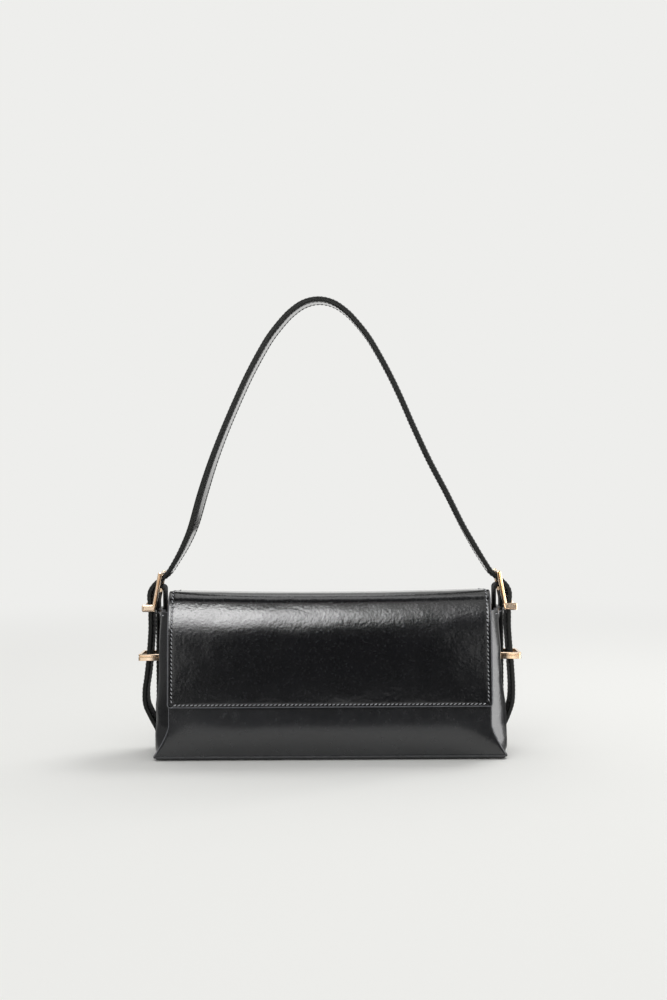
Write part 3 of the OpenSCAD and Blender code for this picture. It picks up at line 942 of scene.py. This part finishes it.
def stripSection(half, thick, settings):
    # Corners of the strip's cross-section: how far across, and how far out of its face
    seam, dip = half - settings["seamInset"], settings["seamDip"]
    face = [(0, 0.0), (half * 0.45, 0.0), (seam - 1.1, -0.02), (seam, -dip), (seam + 1.0, -0.03),
            (half - 0.75, -0.06), (half - 0.3, -0.25)]
    edge = [(half, -0.6), (half + 0.12, -thick * 0.3), (half, -thick * 0.5), (half + 0.12, -thick * 0.7),
            (half, -thick + 0.6)]
    if thick < 2.5:
        edge = [(half, -0.5), (half + 0.08, -thick * 0.5), (half, -thick + 0.5)]
    right = face + edge + [(w, -thick - t) for w, t in reversed(face)]
    return right + [(-w, t) for w, t in reversed(right[1:-1])]


def plumpness(spot):
    full = ease(spot.z, barZ + strapSettings["plumpFrom"], strapSettings["plumpRun"])
    return 1 + strapSettings["plump"] * full


def sweepStrip(frames, section, swollen=lambda spot: 1):
    def place(column, row):
        centre, across, normal = frames[row]
        w, t = section[column]
        return centre + across * w + normal * t * swollen(centre)

    return addWrap(bmesh.new(), len(section), len(frames) - 1, place)


def makeStrap():
    settings = strapSettings
    half, thick = strapHigh.y, 2 * settings["layer"]
    frames = routeFrames(strapRoute(), settings["twist"])
    bm = sweepStrip(frames, stripSection(half, thick, settings), plumpness)
    for face in bm.faces:
        middle = face.calc_center_median()
        if abs(middle.y) / math.cos(math.radians(settings["twist"] * 0.5)) > half - settings["painted"]:
            face.material_index = 1
        elif middle.z < barZ + settings["glazedFrom"]:
            face.material_index = 2
    bodies, blend = ("bag", "strap"), ((0, 0, 98), (0, 0, 112))
    makePiece("strap_leather", bm, [strapLeather, strapEdge, loopLeather], bodies, blend,
              replaced=["shoulder_strap", "shoulder_strap_lining", "strap_run_left", "strap_run_right"],
              sharp=60)
    rows = []
    for inset in (settings["seamInset"] - half, half - settings["seamInset"]):
        rows.append([(c + a * inset - n * 0.1, n) for c, a, n in frames[1:-1]])
        rows.append([(c + a * inset - n * (thick * plumpness(c) - 0.1), -n) for c, a, n in frames[1:-1]])
    stitchPiece("strap_stitches", rows, bodies, blend, strapThread)


def makeLoop(name, side):
    settings = loopSettings
    half, outer = loopHigh.y, loopHigh.x - barX
    points = [Vector((barX - outer, z)) for z in evenly(settings["foot"], barZ, 8)]
    points += [Vector((barX + outer * math.cos(angle), barZ + outer * math.sin(angle)))
               for angle in evenly(math.pi, 0, 16)[1:]]
    points += [Vector((barX + outer, z)) for z in evenly(barZ, loopLow.z, 36)[1:]]
    mirror = Matrix.Diagonal((side, 1, 1))
    frames = [(mirror @ c, a, mirror @ n) for c, a, n in routeFrames(points)]
    bm = sweepStrip(frames, stripSection(half, settings["thick"], settings))
    for face in bm.faces:
        if abs(face.calc_center_median().y) > half - settings["painted"]:
            face.material_index = 1
    bodies, blend = ("bag", "strap"), ((0, 0, 106), (0, 0, 122))
    makePiece("anchor_loop_%s_leather" % name, bm, [loopLeather, strapEdge], bodies, blend,
              replaced=["anchor_loop_" + name], sharp=60)
    low, high = settings["seam"]
    inset = half - settings["seamInset"]
    outerLeg = [spot for spot in frames if abs(spot[0].x) > barX and low < spot[0].z < high]
    rows = [[(c + a * way * inset, n) for c, a, n in outerLeg] for way in (-1, 1)]
    c, a, n = outerLeg[-1]
    rows.append([(c + a * w, n) for w in (-inset + 0.4, 0, inset - 0.4)])
    stitchPiece("anchor_loop_%s_stitches" % name, rows, bodies, blend, strapThread)


makeStrap()
for name, side in sides.items():
    makeLoop(name, side)
print("strap and loops made")


# Hardware: polished bars with a channel along their outer faces

buckleSettings = {
    "top": (-0.1, 12.0),
    "knee": (4.7, -13.7),
    "foot": (11.1, -13.7),
    "rail": 3.2,
    "footHeight": 5.4,
    "deep": 2.8,
    "bars": [((-0.1, 12.0), 1.2), ((0.0, 0.0), 1.5), ((11.1, -13.7), 1.3)],
    "channelRim": 1.15,
    "channelWall": 0.3,
    "channelDepth": 0.5,
    "edge": 0.5,
}


def buckleCorners(settings):
    # Corners of the L, with their radii, in the order that roundedOutline takes
    top, knee, foot = (Vector(settings[spot]) for spot in ("top", "knee", "foot"))
    along = (knee - top).normalized()
    side = Vector((-along.y, along.x)) * settings["rail"] / 2  # towards the outside
    half = settings["footHeight"] / 2
    end = foot.x + half
    start = top - along * settings["rail"] * 0.5

    def onLine(offset, height):
        point = top + offset
        return point + along * ((height - point.y) / along.y)

    return [(*(start - side), 1.5), (*onLine(-side, knee.y - half), 2.2), (end, knee.y - half, 1.3),
            (end, knee.y + half, 1.3), (*onLine(side, knee.y + half), 0.9), (*(start + side), 1.5)]


def shrunk(corners, amount):
    # The same outline moved inwards; a hollow corner's radius grows
    made = []
    for i, (x, y, radius) in enumerate(corners):
        here = Vector((x, y))
        before = (here - Vector(corners[i - 1][:2])).normalized()
        after = (Vector(corners[(i + 1) % len(corners)][:2]) - here).normalized()
        first, second = Vector((-before.y, before.x)), Vector((-after.y, after.x))
        spot = here + (first + second) * amount / (1 + first.dot(second))
        hollow = before.cross(after) < 0
        made.append((spot.x, spot.y, radius + amount if hollow else max(0.02, radius - amount)))
    return made


def makeBuckle(name, side):
    settings = buckleSettings
    corners = buckleCorners(settings)
    far = buckleHigh.y
    near = far - settings["deep"]
    edge, rim = settings["edge"], settings["channelRim"]
    rings = [(edge, near), (edge * 0.3, near + edge * 0.3), (0, near + edge), (0, far - edge),
             (edge * 0.3, far - edge * 0.3), (edge, far), (rim, far),
             (rim + settings["channelWall"], far - settings["channelDepth"])]
    outlines = [roundedOutline(shrunk(corners, amount), 5) for amount, depth in rings]
    bm = bmesh.new()
    for way in (-1, 1):
        def place(column, row):
            spot = outlines[row][column]
            return Vector((side * (barX + spot.x), way * rings[row][1], barZ + spot.y))
        addWrap(bm, len(outlines[0]), len(rings) - 1, place)
    for (x, z), radius in settings["bars"]:
        matrix = Matrix.Translation((side * (barX + x), 0, barZ + z)) @ Matrix.Rotation(math.pi / 2, 4, "X")
        bmesh.ops.create_cone(bm, segments=20, radius1=radius, radius2=radius, depth=2 * near + 0.4,
                              cap_ends=True, matrix=matrix)
    makePiece("buckle_%s_frame" % name, bm, [goldPlate], "strap",
              replaced=["buckle_" + name], sharp=30)


keeperSettings = {
    "corner": 1.6,
    # Its section, from the bottom of the outer face up: how far out, and the share of the height
    "profile": [(0.0, 0.04), (-0.25, 0.0), (-1.85, 0.0), (-2.1, 0.04), (-2.1, 0.96), (-1.85, 1.0),
                (-0.35, 1.0), (0.0, 0.93), (0.0, 0.74), (-0.42, 0.68), (-0.42, 0.58), (0.0, 0.52)],
}


def makeKeeper(name, side):
    path = roundedBox(keeperLow, keeperHigh, keeperSettings["corner"])
    bm = sweepOutline(path, keeperSettings["profile"], (keeperLow.z, keeperHigh.z))
    bmesh.ops.scale(bm, vec=(side, 1, 1), verts=bm.verts)
    makePiece("keeper_%s_ring" % name, bm, [goldPlate], "keeper_" + name,
              replaced=["keeper_" + name], sharp=25)


for name, side in sides.items():
    makeBuckle(name, side)
    makeKeeper(name, side)
print("hardware made")


# Inside: cloth lining, leather facings round the mouth, a slip pocket

def makeLining():
    thick = bodySettings["liningThick"]
    inset = bodySettings["gussetThick"] + 0.3
    top = facingLow.z
    bend = 2.5
    corner = (bend * math.pi / 2, 90)
    legs = [(top - seamZ - bend, 0), corner, (2 * (wallY - bend), 0), corner,
            (backFacingLow.z - seamZ - bend, 0)]
    total = sum(leg[0] for leg in legs)

    def place(column, travel, depth):
        spot, heading = walkLegs((-wallY, top), -math.pi / 2, legs, travel)
        x = column * (edgeX(spot.y) - inset)
        inward = Vector((-math.sin(heading), math.cos(heading)))
        ends = ease(travel, 0, 10) * ease(total - travel, 0, 10)
        spot = spot + inward * (thick * depth + ripple(x, travel, 18, 0.35) * ends * depth)
        lean = frontLean(spot.y) if spot.x < 0 else 0
        return Vector((x, spot.x + lean, spot.y))

    bm = makeShell(evenly(-1, 1, 70), evenly(0, total, 90), place, rimIndex=0)
    makePiece("lining_cloth", bm, [twill], "bag", replaced=["lining_body"])


def makeSideLining(name, side):
    thick = bodySettings["liningThick"]
    outside = bodySettings["gussetThick"] + 0.04
    facing = facingHigh.z - facingLow.z
    columns = sideColumns(wallY - thick - 0.1, 40)

    def clothPlace(y, row, depth):
        return gussetPoint(side, y, mix(seamZ + 0.9, gussetTop(y) - facing, row), outside + thick * depth)

    def facingPlace(y, row, depth):
        return gussetPoint(side, y, gussetTop(y) - facing * (1 - row), outside + thick * depth)

    bm = makeShell(columns, evenly(0, 1, 50), clothPlace, rimIndex=0)
    makePiece("lining_%s_cloth" % name, bm, [twill], "bag", replaced=["lining_" + name])
    bm = makeShell(columns, evenly(0, 1, 8), facingPlace, rim=0.2)
    makePiece("facing_%s_leather" % name, bm, [bodyLeather, flapEdge], "bag",
              replaced=["facing_" + name])


def makeFacing(name, y, low, high, front):
    half = facingHigh.x
    thick = bodySettings["liningThick"]

    def place(x, z, depth):
        return Vector((x, y + thick * depth + (frontLean(z) if front else 0), z))

    bm = makeShell(evenly(-half, half, 100), evenly(low, high, 8), place, rim=0.2)
    makePiece("facing_%s_leather" % name, bm, [bodyLeather, flapEdge], "bag",
              replaced=["facing_" + name])
    z = low + 1.6
    face = y + (thick + 0.05 + frontLean(z) if front else -0.05)
    way = Vector((0, 1 if front else -1, 0))
    row = [(Vector((x, face, z)), way) for x in evenly(-half + 2, half - 2, 40)]
    stitchPiece("facing_%s_stitches" % name, [row], "bag")


def makePocket():
    low, high = pocketLow, pocketHigh
    clothThick = 1.2
    room = high.y - low.y

    def place(x, z, depth):
        out = room * ease(min(x - low.x, high.x - x), 0, 7) * ease(z, low.z - 0.3, 6)
        across = (x - low.x) / (high.x - low.x)
        out *= 0.86 + 0.14 * math.sin(math.pi * across) * (z - low.z) / (high.z - low.z)
        return Vector((x, high.y - mix(max(out, 0.5), max(0.0, out - clothThick), depth), z))

    bm = makeShell(evenly(low.x, high.x, 70), evenly(low.z, high.z, 36), place, rim=0.3, rimIndex=0)
    makePiece("slip_pocket_cloth", bm, [twill], "bag", replaced=["slip_pocket"])
    rows = [[(place(x, z, 0) - Vector((0, 0.05, 0)), Vector((0, -1, 0)))
             for x in evenly(low.x + 8, high.x - 8, 40)] for z in (high.z - 5, high.z - 8)]
    stitchPiece("slip_pocket_stitches", rows, "bag")


makeLining()
for name, side in sides.items():
    makeSideLining(name, side)
makeFacing("front", -wallY, facingLow.z, facingHigh.z, True)
makeFacing("back", backFacingLow.y, backFacingLow.z, backFacingHigh.z, False)
makePocket()
print("inside made")


# Nodes of the frame whose shape is right keep their mesh and take the finish

carriedOver = {
    "snap_socket": snapPlate,
    "snap_socket_washer": snapPlate,
    "snap_stud": snapPlate,
    "snap_stud_washer": snapPlate,
    "base_board": fibreBoard,
}
for name, finish in carriedOver.items():
    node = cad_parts[name]
    node.data.materials.clear()
    node.data.materials.append(finish)
print("carried-over nodes finished")


# Studio: pale floor that fades into a pale backdrop, a soft key light, and cards for the gloss

studioSettings = {
    "background": "#eeeeec",
    "floor": "#f3f3f0",
    "fadeFrom": 0.25,
    "fadeTo": 1.4,
    "worldLevel": 0.68,
    "lamps": {
        "keyLight": {"place": (0.5, 0.36, 1.4), "target": (0, 0, 0.05), "size": 0.5, "power": 6.2},
        "frontLight": {"place": (-0.25, -1.2, 1.3), "target": (0, -0.1, 0), "size": 1.0, "power": 3.0},
    },
}
# Cards that only reflections see. The outline is in the card's own plane. A card stands at its
# place, turned to its target, or lies flat at its height above the floor. Where it fades, it
# does so along its own X or Y, from nearly nothing at the first value to its level at the second.
cardSettings = {
    "softbox": {"outline": [(-0.55, -0.30), (-0.2, -0.30), (0.0, -0.08), (0.2, 0.15), (0.45, 0.24),
                            (0.45, 0.31), (-0.55, 0.31)],
                "place": (0.0, -1.273, 0.506), "target": (0, -0.033, 0.115), "level": 12.0,
                "fade": {"X": (0.22, -0.2), "Y": (-0.30, 0.12)}},
    "sideCard": {"outline": [(-0.13, -0.16), (0.13, -0.16), (0.13, 0.25), (-0.13, 0.25)],
                 "place": (0.6, -0.395, 0.16), "target": (0.125, -0.025, 0.16), "level": 5.5},
    "sideFloorCard": {"outline": [(0.15, -0.075), (0.19, -0.103), (0.55, -0.48), (0.685, -0.3),
                                  (0.214, -0.078), (0.165, -0.05)],
                      "height": 0.002, "level": 6.0},
    "sideFlag": {"outline": [(0.214, -0.076), (0.7, -0.298), (1.0, -0.42), (1.3, 0.15), (0.2, 0.05)],
                 "height": 0.002, "level": 0.08},
    "keeperCard": {"outline": [(0.205, -0.8), (0.28, -0.8), (0.26, -0.45), (0.195, -0.45)],
                   "height": 0.002, "level": 1.7},
    "keeperCardLeft": {"outline": [(-0.28, -0.8), (-0.205, -0.8), (-0.195, -0.45), (-0.26, -0.45)],
                       "height": 0.002, "level": 1.1},
    "leftFlag": {"outline": [(-0.22, -0.16), (0.22, -0.16), (0.22, 0.2), (-0.22, 0.2)],
                 "place": (-0.45, -0.22, 0.16), "target": (-0.12, -0.02, 0.16), "level": 0.3},
    "overheadFlag": {"outline": [(-0.45, -0.55), (0.3, -0.55), (0.3, 0.3), (0.1, 0.4), (0.1, 1.0),
                                 (-0.45, 1.0)],
                     "place": (0, -0.45, 1.15), "target": (0, -0.45, 0), "level": 2.0,
                     "fade": {"X": (-0.34, -0.18), "Y": (0.0, 0.28)}},
    "frontFlag": {"outline": [(-0.27, -0.18), (0.285, -0.18), (0.285, 0.03), (0.45, 0.16), (0.45, 0.56),
                              (0.2, 0.48), (0.0, 0.26), (-0.2, 0.04), (-0.27, 0.02)],
                  "place": (0, -1.3, 0.16), "target": (0, 0, 0.16), "level": 0.02},
    "floorFlag": {"outline": [(-0.285, -1.3), (0.42, -1.3), (0.3, -0.8), (0.26, -0.45), (0.23, -0.3),
                              (0.155, -0.15), (-0.155, -0.15), (-0.16, -0.3)],
                  "height": 0.001, "level": 0.78, "fade": {"Y": (-0.28, -0.16)}},
    "rightFlag": {"outline": [(0.095, -0.3), (0.17, -0.3), (0.17, -0.05), (0.135, -0.05), (0.12, -0.15)],
                  "height": 0.0015, "level": 0.02},
    "leftFloorFlag": {"outline": [(-0.4, -0.3), (-0.125, -0.3), (-0.14, -0.05), (-0.4, -0.05)],
                      "height": 0.0015, "level": 0.1},
    "backLeftFlag": {"outline": [(-0.9, 0.08), (-0.16, 0.08), (-0.16, 1.1), (-0.9, 1.1)],
                     "height": 0.001, "level": 0.04},
    "backRightFlag": {"outline": [(0.16, 0.08), (0.6, 0.08), (0.6, 1.1), (0.16, 1.1)],
                      "height": 0.001, "level": 0.04},
}


def aimed(place, target):
    way = Vector(target) - Vector(place)
    return Matrix.Translation(place) @ way.to_track_quat("-Z", "Y").to_matrix().to_4x4()


def makeWorld(settings):
    world = bpy.data.worlds.new("studioWorld")
    bpy.context.scene.world = world
    world.use_nodes = True
    world.node_tree.nodes.clear()
    rays = addNode(world, "ShaderNodeLightPath", {}).outputs
    direct = addMath(world, "MAXIMUM", rays["Is Camera Ray"], rays["Is Glossy Ray"])
    seen = addMath(world, "MAXIMUM", direct, rays["Is Transmission Ray"])
    pale = addNode(world, "ShaderNodeBackground",
                   {"Color": linear(settings["background"]), "Strength": 1.0})
    light = addNode(world, "ShaderNodeBackground",
                    {"Color": (1, 1, 1, 1), "Strength": settings["worldLevel"]})
    both = addNode(world, "ShaderNodeMixShader",
                   {0: seen, 1: light.outputs["Background"], 2: pale.outputs["Background"]})
    addNode(world, "ShaderNodeOutputWorld", {"Surface": both.outputs["Shader"]})


def addFlat(name, bm, material):
    mesh = bpy.data.meshes.new(name)
    bm.to_mesh(mesh)
    bm.free()
    mesh.materials.append(material)
    flat = bpy.data.objects.new(name, mesh)
    bpy.context.scene.collection.objects.link(flat)
    return flat


def makeFloor(settings):
    material, place = newMaterial("paperFloor")
    away = addNode(material, "ShaderNodeVectorMath", {0: place}, operation="LENGTH").outputs["Value"]
    fade = addRange(material, away, (settings["fadeFrom"], settings["fadeTo"]), (0.0, 1.0), "SMOOTHSTEP")
    paper = addNode(material, "ShaderNodeBsdfDiffuse", {"Color": linear(settings["floor"])})
    glow = addNode(material, "ShaderNodeEmission",
                   {"Color": linear(settings["background"]), "Strength": 1.0})
    both = addNode(material, "ShaderNodeMixShader",
                   {0: fade, 1: paper.outputs["BSDF"], 2: glow.outputs["Emission"]})
    addNode(material, "ShaderNodeOutputMaterial", {"Surface": both.outputs["Shader"]})
    bm = bmesh.new()
    bmesh.ops.create_grid(bm, x_segments=1, y_segments=1, size=6)
    floor = addFlat("floor", bm, material)


def makeLamp(name, settings):
    data = bpy.data.lights.new(name, "AREA")
    data.shape = "SQUARE"
    data.size = settings["size"]
    data.energy = settings["power"]
    lamp = bpy.data.objects.new(name, data)
    lamp.matrix_world = aimed(settings["place"], settings["target"])
    bpy.context.scene.collection.objects.link(lamp)
    lamp.visible_glossy = False


def makeCard(name, settings):
    material, place = newMaterial(name + "Paint")
    parts = addNode(material, "ShaderNodeSeparateXYZ", {"Vector": place}).outputs
    strength = settings["level"]
    for axis, span in settings.get("fade", {}).items():
        fade = addRange(material, parts[axis], span, (0.04, 1.0), "SMOOTHSTEP")
        strength = addMath(material, "MULTIPLY", fade, strength)
    glow = addNode(material, "ShaderNodeEmission", {"Color": (1, 1, 1, 1), "Strength": strength})
    addNode(material, "ShaderNodeOutputMaterial", {"Surface": glow.outputs["Emission"]})
    bm = bmesh.new()
    bm.faces.new([bm.verts.new((x, y, 0)) for x, y in settings["outline"]])
    card = addFlat(name, bm, material)
    if "height" in settings:
        card.location.z = settings["height"]
    else:
        card.matrix_world = aimed(settings["place"], settings["target"])
    for field in ("visible_camera", "visible_diffuse", "visible_transmission", "visible_shadow"):
        setattr(card, field, False)


makeWorld(studioSettings)
makeFloor(studioSettings)
for name, settings in studioSettings["lamps"].items():
    makeLamp(name, settings)
for name, settings in cardSettings.items():
    makeCard(name, settings)
bpy.context.scene.view_settings.view_transform = "Standard"
print("studio set")
